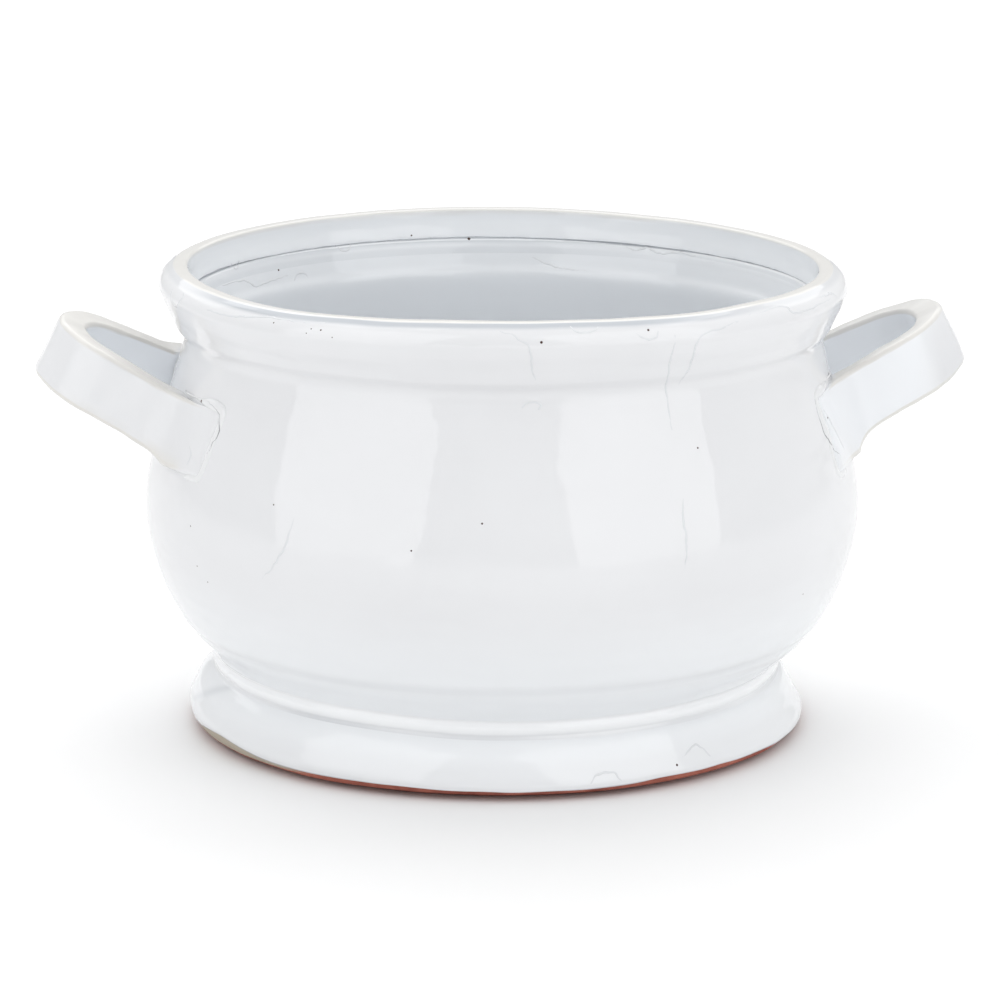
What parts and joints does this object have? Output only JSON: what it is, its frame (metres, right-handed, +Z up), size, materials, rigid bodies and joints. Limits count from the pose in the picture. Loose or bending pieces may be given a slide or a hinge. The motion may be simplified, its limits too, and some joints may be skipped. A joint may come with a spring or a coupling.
{
  "type": "footed bowl",
  "caption": "Round-bellied glazed earthenware bowl on a flared foot ring, with a rolled rim and upturned strap handles on its shoulder.",
  "frame": {"origin": "centre of the foot ring's resting face, on the surface that the bowl stands on", "axes": "+Z up the bowl's axis of turning, +X through the middle of the right handle, +Y to the back"},
  "size_m": [0.3588, 0.2742, 0.176],
  "materials": {
    "white_glaze": "glossy opaque white glaze over red earthenware",
    "thin_glaze": "glossy white glaze that is thin and creamy over the clay"
  },
  "bodies": {
    "root": {"bowl_body": "white_glaze", "rim_roll": "white_glaze", "foot_ring": "white_glaze", "foot_luting_coil": "white_glaze", "handle_left": "white_glaze", "handle_right": "white_glaze", "handle_left_front_luting": "thin_glaze", "handle_left_back_luting": "thin_glaze", "handle_right_front_luting": "thin_glaze", "handle_right_back_luting": "thin_glaze"}
  },
  "joints": []
}
